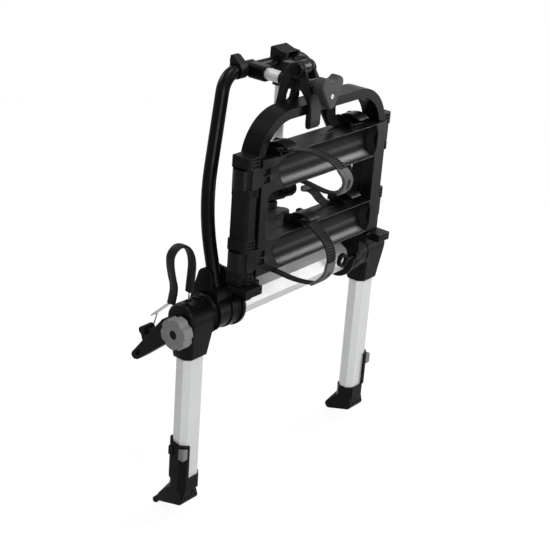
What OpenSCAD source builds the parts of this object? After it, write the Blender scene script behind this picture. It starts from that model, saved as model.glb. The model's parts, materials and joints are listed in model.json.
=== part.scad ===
// Trunk mounted bike rack for two bikes, shown folded up for storage.
// X runs across the vehicle, +Y points to the vehicle, +Z runs up along the legs.
// Sizes are in millimetres. The crossbar axis is the reference of all pieces.

/* [Crossbar and hubs] */
// distance between the two leg axes
leg_span = 520; // [440:2:620]
// crossbar size across its flats
bar_af = 60; // [52:0.5:66]
// tilt of the crossbar's front flat, degrees
bar_tilt = 16; // [0:1:22]
// wall of the crossbar
bar_wall = 3; // [2:0.5:5]
// radius of the elbow barrel
elbow_r = 32; // [30:0.5:36]
// depth of the elbow's lower lip below the crossbar axis
lip_drop = 75; // [62:1:90]

/* [Legs and feet] */
// leg tube width along X
leg_w = 52; // [44:0.5:58]
// leg tube depth along Y
leg_d = 36; // [32:0.5:42]
// corner cut of the leg tube
leg_cut = 10; // [6:0.5:12]
// wall of the leg tube
leg_wall = 2.5; // [2:0.5:4]
// visible length of a leg between elbow and foot
leg_show = 252; // [180:1:320]
// travel of the foot along the leg
foot_travel = 60; // [20:1:80]
// radius of the hook peg
peg_r = 6.5; // [5:0.5:8]

/* [Hoop] */
// hoop tube diameter
hoop_d = 25; // [22:0.5:30]
// half width of the hoop at the hubs
hoop_half = 208; // [206:0.5:210]
// lean of the hoop to the vehicle, degrees
hoop_lean = 14; // [8:0.5:18]
// height of the top bar along the leaning plane
hoop_top = 414; // [395:1:425]
// diameter of the straight bar at the hoop's top
top_d = 19; // [16:0.5:24]
// distance of each arm from the middle
arm_x = 50; // [44:1:52]

/* [Platform] */
// outer half width of the bent platform tube
tube_half = 187; // [180:0.5:190]
// platform tube thickness in its own plane
tube_t = 18; // [14:0.5:22]
// platform tube depth along Y
tube_d = 40; // [34:0.5:44]
// outer bend radius of the platform tube
tube_bend = 88; // [60:1:110]
// top of the platform tube above the crossbar axis
tube_top = 371; // [350:1:390]
// distance of the platform tube's middle plane in front of the axis
tube_y = 48; // [46:0.5:52]

/* [Wheel trays] */
// height of a tray frame
tray_h = 218; // [200:1:240]
// lower edge of the trays above the crossbar axis
tray_z = 77; // [70:1:84]
// height of one wheel trough
trough_h = 64; // [56:1:72]
// thickness of a tray
tray_t = 26; // [22:0.5:27]
// depth of the wheel trough
trough_depth = 20; // [12:0.5:21]
// width of the wheel straps
strap_w = 24; // [18:0.5:30]

/* [Frame arms] */
// diameter of the arm tubes
arm_d = 22; // [20:0.5:26]
// length of the lower arm below the hoop bar
arm_2_len = 250; // [200:1:270]
// jaw width along X
jaw_w = 24; // [24:0.5:28]

/* [Hidden] */
$fn = 48;
// row origin: the middle of the whole rack's box
frame_x = 11.515;
frame_y = 10.42;
frame_z = -15.41;
gap = 0.3;
fit = 0.05;
eps = 0.01;
leg_x = leg_span/2;
oct_r = 1/cos(22.5);

hub_in = leg_x - 33;
plug_r = 22;
plug_out = leg_x + 8;
sleeve_r = bar_af/2*oct_r + 2.6;
drum_r = sleeve_r + 6;
drum_a = hub_in - 39;
drum_b = drum_a - 18;
sleeve_end = drum_b - 8;
lip_w = leg_w + 8;
lip_d = leg_d + 10;
lip_cut = leg_cut + 0.5;
socket_top = -lip_drop + 29;
cup_top = -lip_drop - leg_show;
cup_floor = cup_top - 20;
heel_z = cup_floor - 27;
toe_z = cup_floor - 42;
toe_y = 38;
clamp_h = 79;
clamp_slope = 6;
peg_len = 30;
// thinner root of the peg, and where it leaves the toe
peg_root = peg_r - 1;
peg_bare = 10.8;
peg_out = 13;
button_z = cup_top + 58;
button_h = 22;
low_in = 19;
low_out = 25;

knob_y = -9;
knob_z = -15;
knob_r = 29.5;
knob_in = leg_x + 36;
wire_y = 12;
wire_x = leg_x - 3;
wire_r = 1.4;
hook_out = leg_x + 32;
hook_in = leg_x + 4;
hook_rod = [98, -56];
knob_t = 22;
shaft_r = 5;

cheek_t = 6.5;
holder_r = 40;
holder_h = 82;
hoop_y0 = -18;
hoop_r1 = 350;
hoop_turn = 23.5;
hoop_r2 = 52;
hoop_low = 48;
// the straight bar ends beside the arms, and the upright ends take up what is left of the height
hoop_flat = arm_x + 26.9;
hoop_in = hoop_half - hoop_r1*(1 - cos(hoop_turn)) - hoop_r2*cos(hoop_turn) - hoop_flat;
hoop_run = hoop_in/sin(hoop_turn);
hoop_bends = hoop_r1*sin(hoop_turn) + hoop_r2*(1 - sin(hoop_turn));
hoop_s1 = hoop_top - hoop_bends - hoop_run*cos(hoop_turn);
bar_y = hoop_y0 + hoop_top*sin(hoop_lean);
bar_z = hoop_top*cos(hoop_lean);

hinge_x = tube_half + 19.5;
hinge_r = 18.5;
pin_r = 5;
hinge_off = 6;
post_front = 21;
post_back = 18;
post_out = 30;
knuckle = [[93, 130], [247, 282]];
post_top = 305;
post_low = 66;
foot_low = 50;
pull_y = 48;
pull_z = 16;
pull_r = 4;
pull_x = sleeve_end - 42;
ring_r = 14;
ring_hole = 9;
ring_t = 8;

tray_front = tube_y + tube_d/2 + 7;
plate_t = tray_front - tube_y - tube_d/2 - 0.6;
tray_l = tube_half - 7;
tray_r = tube_half - 4;
tray_gap = 4;
rear_back = -2*tube_y + tray_front;
win_l = 160;
win_r = 154;
trough_l = 112;
trough_r = 150;
half_open = trough_h/2 - 1.5;
flare = 48;
end_slope = 8;
win_round = 16;
win_bevel = 9;
trough_rad = (half_open*half_open + trough_depth*trough_depth)/(2*trough_depth);

head_z = bar_z + 27;
jaw_t = 5.6;
wing_z = -28;
wing_y = -40;
screw_r = 4;
head_y = -tube_y + 4;
jaw_drop = 101;

buckle_w = 40;
lever_y = 10;
lever_z = 12;
lever_pin = 2;

side_l = [1, 0, 0];

// placing and shapes

module placed() {
  translate([frame_x, frame_y, frame_z])
    children();
}

module right_of() {
  mirror(side_l)
    children();
}

module pair() {
  children();
  right_of()
    children();
}

// outline in the YZ plane, drawn out along X from x0 to x1
module along_x(x0, x1) {
  translate([x0, 0, 0])
    rotate([90, 0, 90])
      linear_extrude(x1 - x0)
        children();
}

module rod_x(x0, x1, r) {
  translate([x0, 0, 0])
    rotate([0, 90, 0])
      cylinder(r = r, h = x1 - x0);
}

module box(lo, hi) {
  translate(lo)
    cube(hi - lo);
}

module octagon(w, d, c) {
  polygon([[w/2 - c, -d/2], [w/2, -d/2 + c], [w/2, d/2 - c], [w/2 - c, d/2],
    [-w/2 + c, d/2], [-w/2, d/2 - c], [-w/2, -d/2 + c], [-w/2 + c, -d/2]]);
}

module bar_outline(af) {
  rotate(22.5 - bar_tilt)
    circle(r = af/2*oct_r, $fn = 8);
}

module round_box2(w, h, r) {
  square([w - 2*r, h], center = true);
  square([w, h - 2*r], center = true);
  for (sx = [-1, 1])
    for (sy = [-1, 1])
      translate([sx*(w/2 - r), sy*(h/2 - r)])
        circle(r = r);
}

// flat band along points [x, y, z], w wide along X and t thick
module ribbon(pts, w, t) {
  n = len(pts);
  function dir(i) = let(a = pts[max(i - 1, 0)], b = pts[min(i + 1, n - 1)],
    d = [b[1] - a[1], b[2] - a[2]]) d/norm(d);
  corners = [[-1, -1], [1, -1], [1, 1], [-1, 1]];
  ring = [for (i = [0:n - 1]) let(d = dir(i), p = pts[i]) for (k = corners)
    [p[0] + k[0]*w/2, p[1] - d[1]*k[1]*t/2, p[2] + d[0]*k[1]*t/2]];
  faces = concat([[0, 1, 2], [0, 2, 3]],
    [[4*n - 4, 4*n - 2, 4*n - 3], [4*n - 4, 4*n - 1, 4*n - 2]],
    [for (i = [0:n - 2]) for (j = [0:3]) let(a = 4*i + j, b = 4*i + (j + 1)%4)
      [a, a + 4, b + 4]],
    [for (i = [0:n - 2]) for (j = [0:3]) let(a = 4*i + j, b = 4*i + (j + 1)%4)
      [a, b + 4, b]]);
  polyhedron(points = ring, faces = faces);
}

// crossbar group

module crossbar() {
  color("silver")
    placed()
      along_x(-hub_in + 1, hub_in - 1)
        difference() {
          bar_outline(bar_af);
          bar_outline(bar_af - 2*bar_wall);
        }
}

module bar_plug() {
  along_x(-hub_in + 1.2, -hub_in + 40)
    bar_outline(bar_af - 2*bar_wall - gap);
  rod_x(-plug_out, -hub_in + 1.2 + eps, plug_r);
}

module bar_plugs() {
  color("dimgray")
    placed()
      pair()
        bar_plug();
}

module pivot_drum() {
  difference() {
    union() {
      rod_x(-hub_in + 1, -drum_a, sleeve_r);
      rod_x(-drum_a - eps, -drum_b, drum_r);
      rod_x(-drum_b - eps, -sleeve_end, sleeve_r);
    }
    along_x(-hub_in, -sleeve_end + 1)
      bar_outline(bar_af + gap);
    for (i = [0:4])
      translate([-drum_a + 7 + 4.4*i, 0, 0])
        rotate([0, 90, 0])
          difference() {
            cylinder(r = drum_r + 1, h = 1.6);
            translate([0, 0, -1])
              cylinder(r = drum_r - 1.6, h = 4);
          }
  }
}

module pivot_drums() {
  color([0.08, 0.08, 0.08])
    placed()
      pair()
        pivot_drum();
}

// legs

module elbow(with_knob) {
  difference() {
    union() {
      hull() {
        rod_x(-leg_x - 28, -hub_in - 4, elbow_r, $fn = 32);
        rod_x(-leg_x - 33, -leg_x - 20, elbow_r - 5, $fn = 32);
        translate([-leg_x, 0, -lip_drop])
          linear_extrude(20)
            octagon(lip_w, lip_d, lip_cut);
      }
      along_x(-hub_in - 4 - eps, -hub_in)
        rotate(22.5)
          circle(r = (elbow_r + 3)*oct_r, $fn = 8);
    }
    rod_x(-plug_out - 2, -hub_in + 1, plug_r + fit);
    translate([-leg_x, 0, -lip_drop - 1])
      linear_extrude(30 + gap)
        octagon(leg_w + gap, leg_d + gap, leg_cut);
    if (with_knob)
      translate([0, knob_y, knob_z])
        rod_x(-knob_in - 1, -plug_out - 4, shaft_r + fit);
    // flat seat of the cable with its holes
    box([-leg_x - 14, wire_y - 22, plug_r + 3.5], [-leg_x + 16, wire_y + 12, plug_r + 30]);
    for (x = [-6, 0, 6])
      translate([-wire_x + x, wire_y, plug_r + 1.5])
        cylinder(r = wire_r + 0.8, h = 40);
  }
}

module elbow_left() {
  color([0.1, 0.1, 0.1])
    placed()
      elbow(true);
}

module elbow_right() {
  color([0.1, 0.1, 0.1])
    placed()
      right_of()
        elbow(false);
}

module leg_tube() {
  translate([-leg_x, 0, cup_floor])
    linear_extrude(socket_top - cup_floor)
      difference() {
        octagon(leg_w, leg_d, leg_cut);
        octagon(leg_w - 2*leg_wall, leg_d - 2*leg_wall, leg_cut - leg_wall*0.6);
      }
}

module leg_tube_left() {
  color("silver")
    placed()
      leg_tube();
}

module leg_tube_right() {
  color("silver")
    placed()
      right_of()
        leg_tube();
}

// tension knobs

module knob_body() {
  translate([0, knob_y, knob_z]) {
    difference() {
      union() {
        along_x(-knob_in - knob_t, -knob_in)
          difference() {
            circle(r = knob_r);
            for (i = [0:5])
              rotate(60*i + 12)
                translate([knob_r + 5.5, 0])
                  circle(r = 8.5);
          }
        rod_x(-knob_in - eps, -knob_in + 23, shaft_r);
      }
      rod_x(-knob_in - knob_t - 1, -knob_in - knob_t + 6, 8.5);
    }
  }
}

module tension_knob() {
  color([0.4, 0.4, 0.4])
    placed()
      knob_body();
}

module knob_cap_body() {
  translate([0, knob_y, knob_z])
    rod_x(-knob_in - knob_t + 1, -knob_in - knob_t + 5.9, 8.4);
}

module knob_cap() {
  color([0.1, 0.1, 0.1])
    placed()
      knob_cap_body();
}

// upper hooks on their cables

// points of the sleeve's middle line, across from the leg axis
sheath_pts = [[4, 12, 42], [6, 13, 56], [9, 14, 74], [11, 15, 92], [10, 17, 108], [5, 19, 121],
  [-4, 21, 130], [-16, 23, 133], [-26, 25, 128], [-32, 27, 116], [-30, 29, 100], [-25, 31, 84],
  [-19, 33, 68], [-13, 35, 54], [-9, 38, 40], [-8, 41, 26], [-8, 44, 12]];
sheath_w = 20;
sheath_t = 6;

module sheath() {
  // a flat sleeve whose width lies across the loop
  n = len(sheath_pts);
  w = sheath_w;
  t = sheath_t;
  function run(i) = let(a = sheath_pts[max(i - 1, 0)], b = sheath_pts[min(i + 1, n - 1)],
    d = [b[0] - a[0], b[2] - a[2]]) d/norm(d);
  cut = [[-1, -0.5], [-0.84, -1], [0.84, -1], [1, -0.5], [1, 0.5], [0.84, 1], [-0.84, 1], [-1, 0.5]];
  ring = [for (i = [0:n - 1]) let(d = run(i), p = sheath_pts[i]) for (k = cut)
    [p[0] - d[1]*k[1]*t/2, p[1] + k[0]*w/2, p[2] + d[0]*k[1]*t/2]];
  faces = concat([[for (j = [0:7]) 7 - j]], [[for (j = [0:7]) 8*(n - 1) + j]],
    [for (i = [0:n - 2]) for (j = [0:7]) [8*i + j, 8*i + (j + 1)%8, 8*i + 8 + (j + 1)%8]],
    [for (i = [0:n - 2]) for (j = [0:7]) [8*i + j, 8*i + 8 + (j + 1)%8, 8*i + 8 + j]]);
  translate([-leg_x, 0, 0])
    polyhedron(points = ring, faces = faces);
}

module sheath_left() {
  color([0.1, 0.1, 0.1])
    placed()
      sheath();
}

module sheath_right() {
  color([0.1, 0.1, 0.1])
    placed()
      right_of()
        sheath();
}

module cable_wire() {
  // wire out of the elbow
  translate([-wire_x, wire_y, plug_r + 1.8])
    cylinder(r = wire_r, h = 41.2 - plug_r - 1.8);
  // flat steel end below the sleeve
  translate([-leg_x, 72, -10])
    rotate([-43, 0, 0])
      box([-11, -29.5, -1.5], [7, 25, 1.5]);
  // wire from the flat end to the hook's rod
  translate([-hook_in + 7.7, hook_rod[0] - 10, hook_rod[1] + 31])
    rotate([-163, 0, 0])
      cylinder(r = wire_r, h = 34);
}

module cable_wire_left() {
  color("lightgray")
    placed()
      cable_wire();
}

module cable_wire_right() {
  color("lightgray")
    placed()
      right_of()
        cable_wire();
}

module hook_plate() {
  difference() {
    union() {
      along_x(-hook_out, -hook_in)
        difference() {
          hull() {
            translate([36, -17])
              circle(r = 9);
            translate([33, -47])
              circle(r = 8);
            translate([109, -108])
              circle(r = 8);
            translate([103, -110])
              circle(r = 5);
          }
          circle(r = elbow_r + 2);
          polygon([[0, 0], [elbow_r + 2, 0], [lip_d/2 + 2, -lip_drop], [0, -lip_drop]]);
        }
      translate([0, hook_rod[0], hook_rod[1]])
        rod_x(-hook_out + 6, -hook_in + 6, 8);
      along_x(-hook_out + 9, -hook_in - 4)
        polygon([[82, -72], [96, -86], [105, -60], [91, -54]]);
    }
    along_x(-hook_out - 1, -hook_out + 4)
      translate([98, -98])
        rotate(-50)
          round_box2(18, 8, 3.5);
  }
}

module hook_plate_left() {
  color([0.12, 0.12, 0.12])
    placed()
      hook_plate();
}

module hook_plate_right() {
  color([0.12, 0.12, 0.12])
    placed()
      right_of()
        hook_plate();
}

// feet

module foot_body() {
  difference() {
    union() {
      // cup round the leg's end
      translate([-leg_x, 0, cup_floor - 8])
        linear_extrude(cup_top - cup_floor + 8)
          octagon(leg_w + 4, leg_d + 5, leg_cut + 1);
      // clamp cheek up the outer side of the leg, its top falling to the front
      translate([-leg_x, 0, cup_top - eps])
        intersection() {
          linear_extrude(clamp_h)
            octagon(leg_w + 9, leg_d + 9, leg_cut + 1.5);
          along_x(-leg_w, -leg_w/2 + leg_cut + 4)
            polygon([[-leg_d, 0], [leg_d, 0], [leg_d, clamp_h + clamp_slope],
              [leg_d/2, clamp_h], [-leg_d/2, clamp_h - clamp_slope], [-leg_d, clamp_h - 2*clamp_slope]]);
        }
      // grip ridge on the cheek
      box([-leg_x - leg_w/2 - 7, 2, cup_top + 50], [-leg_x - leg_w/2 - 3, 13, cup_top + 68]);
      // heel and toe
      hull() {
        translate([-leg_x, 0, cup_floor - 6])
          linear_extrude(6)
            translate([(low_in - low_out)/2, 0])
              octagon(low_in + low_out, leg_d + 4, leg_cut);
        translate([0, -10, heel_z])
          along_x(-leg_x - low_out, -leg_x + low_in)
            circle(r = 9, $fn = 32);
        translate([0, toe_y, toe_z])
          along_x(-leg_x - low_out + 3, -leg_x + low_in)
            circle(r = 9, $fn = 32);
        translate([0, toe_y - 4, toe_z + 10])
          along_x(-leg_x - low_out + 2, -leg_x + low_in - 2)
            circle(r = 6, $fn = 32);
      }
    }
    translate([-leg_x, 0, cup_floor])
      linear_extrude(200)
        octagon(leg_w + gap, leg_d + gap, leg_cut);
    peg_place()
      cylinder(r = peg_root + fit, h = 60);
    for (i = [0:3])
      translate([-leg_x - low_out + 8 + 9*i, -30, heel_z + 6])
        rotate([-90, 0, 0])
          cylinder(r = 2.2, h = 16);
    translate([-leg_x + 2, -30, cup_floor - 12])
      rotate([-90, 0, 0])
        cylinder(r = 2.8, h = 14);
    for (i = [0:2])
      button_place()
        translate([-4 + 4*i, -12, -40 + (i == 1 ? 4 : 0)])
          rotate([-90, 0, 0])
            cylinder(r = 1.4, h = 16);
    button_place()
      box([-8.4 - gap, -20, -button_h/2 - gap], [8.4 + gap, 0.9, button_h/2 + gap]);
  }
}

module button_place() {
  translate([-leg_x - leg_w/2 + leg_cut/2 - 1.5, -leg_d/2 + leg_cut/2 - 1.5, button_z])
    rotate([0, 0, -45])
      children();
}

module peg_place() {
  translate([-leg_x - peg_out, toe_y, toe_z + 2])
    rotate([-135, 0, 0])
      children();
}

module foot_left() {
  color([0.1, 0.1, 0.1])
    placed()
      foot_body();
}

module foot_right() {
  color([0.1, 0.1, 0.1])
    placed()
      right_of()
        foot_body();
}

module foot_steel() {
  translate([-leg_x, 0, cup_floor + 0.1])
    linear_extrude(150)
      octagon(leg_w - 2*leg_wall - 0.6, leg_d - 2*leg_wall - 0.6, leg_cut - leg_wall*0.6);
  peg_place() {
    translate([0, 0, 0.1])
      cylinder(r = peg_root, h = peg_bare);
    translate([0, 0, peg_bare])
      cylinder(r = peg_r, h = peg_len - peg_bare);
  }
}

module foot_steel_left() {
  color("gray")
    placed()
      foot_steel();
}

module foot_steel_right() {
  color("gray")
    placed()
      right_of()
        foot_steel();
}

module foot_button() {
  // a corner block that fills out the cheek's cut corner
  button_place()
    translate([0, 0, -button_h/2])
      linear_extrude(button_h)
        polygon([[-8.4, -2.6], [-8.4, -4], [0, -12.4], [8.4, -4], [8.4, -2.6]]);
}

module foot_button_left() {
  color([0.5, 0.5, 0.5])
    placed()
      foot_button();
}

module foot_button_right() {
  color([0.5, 0.5, 0.5])
    placed()
      right_of()
        foot_button();
}

// hoop

module hoop_frame() {
  translate([0, hoop_y0, 0])
    rotate([-hoop_lean, 0, 0])
      children();
}

module hoop_half_tube() {
  translate([-hoop_half, 0, hoop_low])
    cylinder(d = hoop_d, h = hoop_s1 - hoop_low + eps);
  translate([-hoop_half + hoop_r1, 0, hoop_s1])
    rotate([90, 0, 0])
      rotate([0, 0, 180 - hoop_turn])
        rotate_extrude(angle = hoop_turn, $fn = 96)
          translate([hoop_r1, 0])
            circle(d = hoop_d, $fn = 48);
  translate([-hoop_half + hoop_r1*(1 - cos(hoop_turn)), 0, hoop_s1 + hoop_r1*sin(hoop_turn)])
    rotate([0, hoop_turn, 0])
      translate([0, 0, -eps])
        cylinder(d = hoop_d, h = hoop_run + 2*eps);
  hoop_bend(hoop_d);
}

module hoop_bend(d) {
  translate([-hoop_flat, 0, hoop_top - hoop_r2])
    rotate([90, 0, 0])
      rotate([0, 0, 90])
        rotate_extrude(angle = 90 - hoop_turn, $fn = 96)
          translate([hoop_r2, 0])
            circle(d = d, $fn = 48);
}

module hoop_tube() {
  color([0.09, 0.09, 0.09])
    placed()
      hoop_frame() {
        pair()
          hoop_half_tube();
        translate([0, 0, hoop_top]) {
          rod_x(-hoop_flat - eps, -hoop_flat + 3, hoop_d/2);
          rod_x(hoop_flat - 3, hoop_flat + eps, hoop_d/2);
          rod_x(-hoop_flat, hoop_flat, top_d/2);
        }
      }
}

// straight on the vehicle's side, drawn in on the other
module holder_outline(r, w) {
  top = holder_h - w;
  circle(r = r);
  translate([4, top])
    circle(r = w);
  polygon([[4 - w, 0], [4, 0], [r*0.94, r*0.34], [4 + w*0.94, top + w*0.34], [4, top], [4 - w, top]]);
  difference() {
    translate([-r*0.72, r*0.5])
      square([r*0.72, top - r*0.5 - 6]);
    translate([4 - w - 20, top - 5])
      circle(r = 20);
  }
}

module holder() {
  difference() {
    union() {
      along_x(-hub_in + 0.6, -hub_in + 0.6 + cheek_t)
        holder_outline(holder_r, 17);
      along_x(-drum_a - cheek_t - 0.5, -drum_a - 0.5)
        holder_outline(holder_r + 1, 17);
      along_x(-hub_in + cheek_t, -drum_a - cheek_t)
        holder_outline(holder_r - 1.5, 15.5);
    }
    rod_x(-hub_in - 1, -drum_a + 1, sleeve_r + fit);
    hoop_frame()
      translate([-hoop_half, 0, hoop_low - 0.1])
        cylinder(d = hoop_d + gap, h = 80);
  }
}

module hoop_holders() {
  color([0.09, 0.09, 0.09])
    placed()
      pair()
        holder();
}

module pad_ring(x0, x1) {
  along_x(x0, x1) {
    circle(r = 16);
    children();
  }
}

module window_pads() {
  block = [[-13, 4], [-24, 12], [-24, 20], [-10, 21], [10, 27], [15, 24], [15, 8], [14, 2]];
  color([0.1, 0.1, 0.1])
    placed()
      difference() {
        translate([0, bar_y, bar_z]) {
          // saddle by the first arm
          pad_ring(-arm_x - 34, -arm_x - 14)
            polygon([[-13, 4], [-11, 13], [6, 26], [13, 27], [15, 18], [14, 2]]);
          // block over the second arm
          for (x = [arm_x - 20.5, arm_x + 14])
            pad_ring(x, x + 6.5)
              polygon(block);
          difference() {
            along_x(arm_x - 20, arm_x + 20)
              polygon([[-24, 14.8], [-24, 20], [-10, 21], [10, 27], [15, 24], [15, 14.8]]);
            for (i = [0:2])
              box([arm_x - 13 + 10*i, -26, 16], [arm_x - 7 + 10*i, -19, 19]);
          }
        }
        translate([0, bar_y, bar_z]) {
          rod_x(-arm_x - 50, arm_x + 50, top_d/2 + fit);
          for (x = [-hoop_flat - 20, hoop_flat - 3 - gap])
            rod_x(x, x + 23 + gap, hoop_d/2 + gap);
        }
        pair()
          hoop_frame()
            hoop_bend(hoop_d + 2*gap);
      }
}

// frame arms: arm 1 lies forward over the platform, arm 2 hangs behind it

module arm_socket_body() {
  difference() {
    union() {
      rod_x(-13.4, 13.4, 14);
      translate([0, -12, 0])
        rotate([90, 0, 0])
          linear_extrude(36)
            round_box2(26.8, 28, 7);
    }
    rod_x(-30, 30, top_d/2 + fit);
    translate([0, -19.8, 0])
      rotate([90, 0, 0])
        cylinder(d = arm_d + gap, h = 60);
  }
}

module arm_tube_body(len) {
  translate([0, -20, 0])
    rotate([90, 0, 0])
      difference() {
        cylinder(d = arm_d, h = len);
        translate([0, 0, -1])
          cylinder(d = arm_d - 4, h = len + 2);
      }
}

// clamp in its own frame: the jaws hang along -Z, the bolt is the origin
module head_body() {
  difference() {
    union() {
      rod_x(-9, 9, 15);
      box([-9, 0, -40], [9, 40, 6]);
      translate([0, 44, -27])
        rotate([90, 0, 0])
          cylinder(d = arm_d + 7, h = 32);
    }
    rod_x(-30, 30, 5 + fit);
    translate([0, 80, -27])
      rotate([90, 0, 0])
        cylinder(d = arm_d + gap, h = 60);
  }
}

module jaw_outline(side) {
  circle(r = 15);
  if (side > 0)
    polygon([[-4, 13], [12, 12], [24, -2], [33, -28], [37, -50], [42, -75], [48, -92], [49, -jaw_drop],
      [41, -jaw_drop], [33.5, -91], [25.5, -77], [18.6, -56], [18.6, -48], [8, -14]]);
  else
    polygon([[4, 13], [-12, 12], [-20, -4], [-28, -24], [-33, -50], [-37, -76], [-37, -94],
      [-33, -jaw_drop], [-26, -jaw_drop + 1], [-24.6, -92], [-24.6, -55], [-19, -46], [-8, -34], [-3, -14]]);
}

// the part of a jaw that lies across both cheeks
module jaw_bridge(side) {
  if (side > 0)
    polygon([[40, -66], [42, -75], [48, -92], [49, -jaw_drop], [41, -jaw_drop], [33.5, -91],
      [25.5, -77], [22, -66]]);
  else
    polygon([[-23.2, -12], [-28, -24], [-33, -50], [-37, -76], [-37, -94], [-33, -jaw_drop],
      [-26, -jaw_drop + 1], [-24.6, -92], [-24.6, -55], [-21, -46], [-19, -24], [-18, -14]]);
}

module jaw_cheeks(side) {
  c0 = side > 0 ? 15.4 : 9.4;
  c1 = c0 + jaw_t;
  difference() {
    union() {
      along_x(-c1, -c0)
        jaw_outline(side);
      along_x(c0, c1)
        jaw_outline(side);
      along_x(-c1, c1)
        jaw_bridge(side);
    }
    rod_x(-40, 40, 5 + fit);
    if (side < 0)
      translate([0, -5, wing_z])
        rotate([90, 0, 0])
          cylinder(r = screw_r + fit, h = 60);
  }
}

module head_bolt() {
  rod_x(-jaw_w - 2, jaw_w - 2.9, 5);
  rod_x(-jaw_w - 2, -jaw_w + 2.7, 9);
}

module wing_body() {
  translate([0, wing_y, wing_z])
    rotate([90, 0, 0]) {
      translate([0, 0, -8.5])
        cylinder(r = 10.5, h = 18.5);
      translate([0, 0, -18])
        cylinder(r = screw_r, h = 20);
      translate([0, 0, 9])
        difference() {
          linear_extrude(20)
            hull() {
              translate([17, 15])
                circle(r = 13);
              translate([-17, 15])
                circle(r = 13);
              translate([2, -20])
                circle(r = 10);
            }
          translate([0, 44, -1])
            cylinder(r = 22, h = 30);
          translate([0, -6, 14])
            cylinder(r = 5, h = 10);
        }
    }
}

module arm_1_frame() {
  translate([-arm_x, bar_y, bar_z])
    children();
}

module head_1_frame() {
  translate([-arm_x, head_y, head_z])
    children();
}

module arm_1_socket() {
  color([0.1, 0.1, 0.1])
    placed()
      arm_1_frame()
        arm_socket_body();
}

module arm_1_tube() {
  color("silver")
    placed()
      arm_1_frame()
        arm_tube_body(bar_y - 20 - head_y - 21);
}

module arm_1_head() {
  color([0.1, 0.1, 0.1])
    placed()
      head_1_frame()
        head_body();
}

module arm_1_jaw_rear() {
  color([0.1, 0.1, 0.1])
    placed()
      head_1_frame()
        jaw_cheeks(1);
}

module arm_1_jaw_front() {
  color([0.12, 0.12, 0.12])
    placed()
      head_1_frame()
        jaw_cheeks(-1);
}

module arm_1_bolt() {
  color([0.2, 0.2, 0.2])
    placed()
      head_1_frame()
        head_bolt();
}

module arm_1_wing() {
  color([0.25, 0.25, 0.25])
    placed()
      head_1_frame()
        wing_body();
}

module arm_2_frame() {
  translate([arm_x, bar_y, bar_z])
    rotate([90, 0, 0])
      children();
}

module head_2_frame() {
  arm_2_frame()
    translate([0, -arm_2_len, head_z - bar_z])
      children();
}

module arm_2_socket() {
  color([0.1, 0.1, 0.1])
    placed()
      arm_2_frame()
        arm_socket_body();
}

module arm_2_tube() {
  color("silver")
    placed()
      arm_2_frame()
        arm_tube_body(arm_2_len - 41);
}

module arm_2_head() {
  color([0.1, 0.1, 0.1])
    placed()
      head_2_frame()
        head_body();
}

module arm_2_jaw_rear() {
  color([0.1, 0.1, 0.1])
    placed()
      head_2_frame()
        jaw_cheeks(1);
}

module arm_2_jaw_front() {
  color([0.12, 0.12, 0.12])
    placed()
      head_2_frame()
        jaw_cheeks(-1);
}

module arm_2_bolt() {
  color([0.2, 0.2, 0.2])
    placed()
      head_2_frame()
        head_bolt();
}

module arm_2_wing() {
  color([0.25, 0.25, 0.25])
    placed()
      head_2_frame()
        wing_body();
}

// folding platform

// upright outline with a square foot and rounded shoulders
module arch(half, low, top, r) {
  translate([-half, low])
    square([2*half, top - r - low]);
  translate([-half + r, low])
    square([2*(half - r), top - low]);
  for (x = [-half + r, half - r])
    translate([x, top - r])
      circle(r = r, $fn = 96);
}

module platform_tube() {
  color([0.1, 0.1, 0.1])
    placed()
      translate([0, -tube_y + tube_d/2, 0])
        rotate([90, 0, 0])
          linear_extrude(tube_d)
            difference() {
              arch(tube_half, post_low + 0.1, tube_top, tube_bend);
              arch(tube_half - tube_t, post_low - 1, tube_top - tube_t, tube_bend - tube_t);
            }
}

// upright block beside the platform tube, its outer front edge bevelled
module post_block(z0, z1, front, back, out, bevel) {
  translate([-tube_half, 0, z0])
    linear_extrude(z1 - z0)
      polygon([[-0.1, front], [-0.1, back], [-out, back], [-out, front + bevel], [-out + bevel, front]]);
}

module post_section(z0, z1, y_axis, out) {
  n = 3;
  h = (z1 - z0)/(2*n + 1);
  front = -y_axis - post_front;
  difference() {
    post_block(z0, z1, front, -y_axis + post_back, out, 5);
    for (i = [0:n - 1])
      box([-tube_half - out*0.62, front - 1, z0 + h*(2*i + 1)],
        [-tube_half - 4, front + 3, z0 + h*(2*i + 2)]);
  }
}

module hinge_post(y_axis) {
  front = -y_axis - post_front;
  back = -y_axis + post_back;
  difference() {
    union() {
      post_section(knuckle[1][1] + gap, post_top, y_axis, post_out);
      post_section(knuckle[0][1] + gap, knuckle[0][1] + 22, y_axis, post_out);
      post_block(knuckle[0][1] + 20, knuckle[1][0] - 14, front + 3, back, post_out - 4, 6);
      post_section(knuckle[1][0] - 16, knuckle[1][0] - gap, y_axis, post_out - 3);
      post_section(post_low, knuckle[0][0] - gap, y_axis, post_out - 10);
      post_block(post_low, knuckle[0][0] - gap, front + 4, back, post_out, 5);
    }
    translate([-hinge_x, -y_axis, 0])
      cylinder(r = pin_r + fit, h = 400);
  }
}

module hinge_posts() {
  color([0.1, 0.1, 0.1])
    placed() {
      hinge_post(tube_y + hinge_off);
      right_of()
        hinge_post(tube_y - hinge_off);
    }
}

module hinge_pins() {
  color("gray")
    placed() {
      translate([-hinge_x, -tube_y - hinge_off, post_low + 1])
        cylinder(r = pin_r, h = post_top - post_low - 1);
      translate([hinge_x, -tube_y + hinge_off, post_low + 1])
        cylinder(r = pin_r, h = post_top - post_low - 1);
    }
}

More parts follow.
